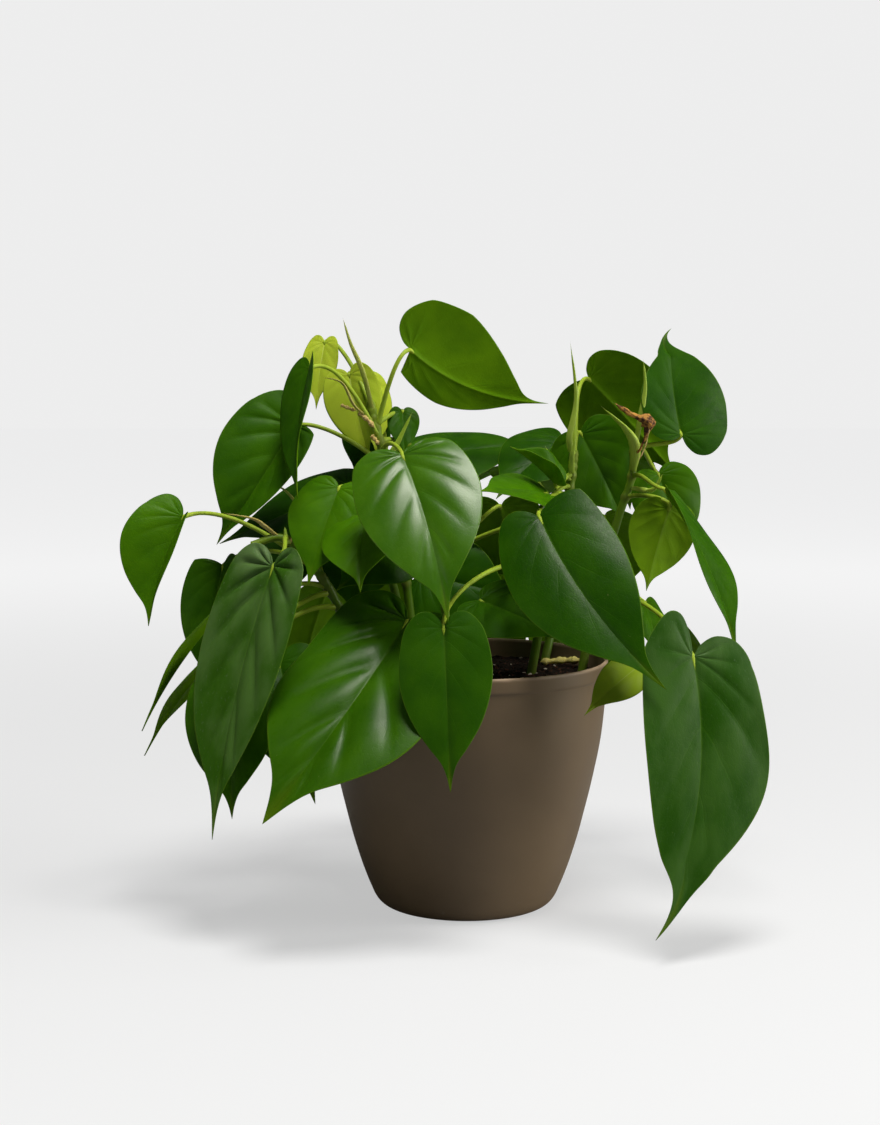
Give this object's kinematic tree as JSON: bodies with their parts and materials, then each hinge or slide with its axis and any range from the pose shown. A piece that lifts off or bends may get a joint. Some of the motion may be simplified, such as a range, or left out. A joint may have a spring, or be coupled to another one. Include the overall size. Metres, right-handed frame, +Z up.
{
  "type": "potted heartleaf philodendron",
  "caption": "Heart-leaved trailing house plant in a round tapered plastic pot: green drip-tipped leaves on thin stalks, pale young leaves and sheaths, hanging over the rim.",
  "frame": {"origin": "centre of the pot's flat underside, on the floor", "axes": "+Z up along the pot's axis, -Y towards the front of the plant, +X to its right as seen from the front"},
  "size_m": [0.2981, 0.2294, 0.2963],
  "materials": {
    "pot_plastic": "matt taupe moulded plastic",
    "soil_mix": "crumbly dark moist potting mix",
    "green_growth": "waxy semi-gloss leaf"
  },
  "bodies": {
    "root": {"pot": "pot_plastic", "soil": "soil_mix", "stem_crown": "green_growth", "stem_left": "green_growth", "stem_front": "green_growth", "stem_middle": "green_growth", "stem_right": "green_growth", "stem_back_left": "green_growth", "stem_back": "green_growth", "stem_back_right": "green_growth"}
  },
  "joints": []
}
